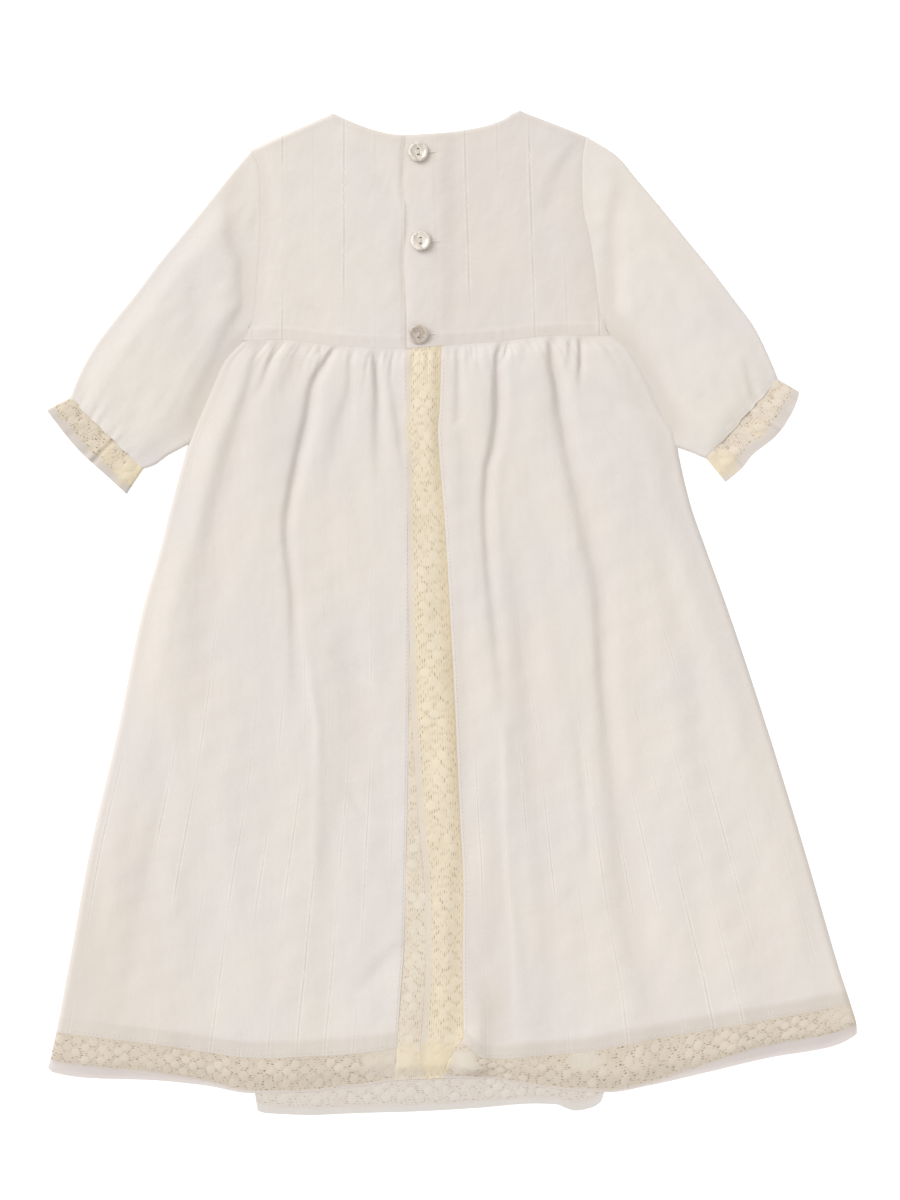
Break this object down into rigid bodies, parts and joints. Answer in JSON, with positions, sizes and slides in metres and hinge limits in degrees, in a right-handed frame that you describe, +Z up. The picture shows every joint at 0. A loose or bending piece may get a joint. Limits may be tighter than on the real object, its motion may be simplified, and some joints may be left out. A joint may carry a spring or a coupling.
{
  "type": "baby dress",
  "caption": "Long gathered baby dress laid flat with its back up, with a buttoned back bodice, three-quarter sleeves and lace at the hem, cuffs and skirt opening.",
  "frame": {"origin": "middle of the bounding box of the laid-out dress, on the surface it lies on", "axes": "+Y towards the neck, +X to the right of someone who looks down at the back with the neck away from them, +Z up off the surface"},
  "size_m": [0.4609, 0.572, 0.0081],
  "materials": {
    "cotton_cloth": "soft matt cream cotton with woven slub stripes",
    "cotton_lace": "matt ecru machine lace with close round dots",
    "pearl_button": "polished mother-of-pearl"
  },
  "bodies": {
    "root": {"front_bodice": "cotton_cloth", "front_skirt": "cotton_cloth", "back_bodice_left": "cotton_cloth", "back_bodice_right": "cotton_cloth", "back_skirt_left": "cotton_cloth", "back_skirt_right": "cotton_cloth", "sleeve_left": "cotton_cloth", "sleeve_right": "cotton_cloth", "cuff_lace_left": "cotton_lace", "cuff_lace_right": "cotton_lace", "hem_lace_front": "cotton_lace", "hem_lace_back_left": "cotton_lace", "hem_lace_back_right": "cotton_lace", "opening_lace_left": "cotton_lace", "opening_lace_right": "cotton_lace", "button_top": "pearl_button", "button_middle": "pearl_button", "button_bottom": "pearl_button"}
  },
  "joints": []
}
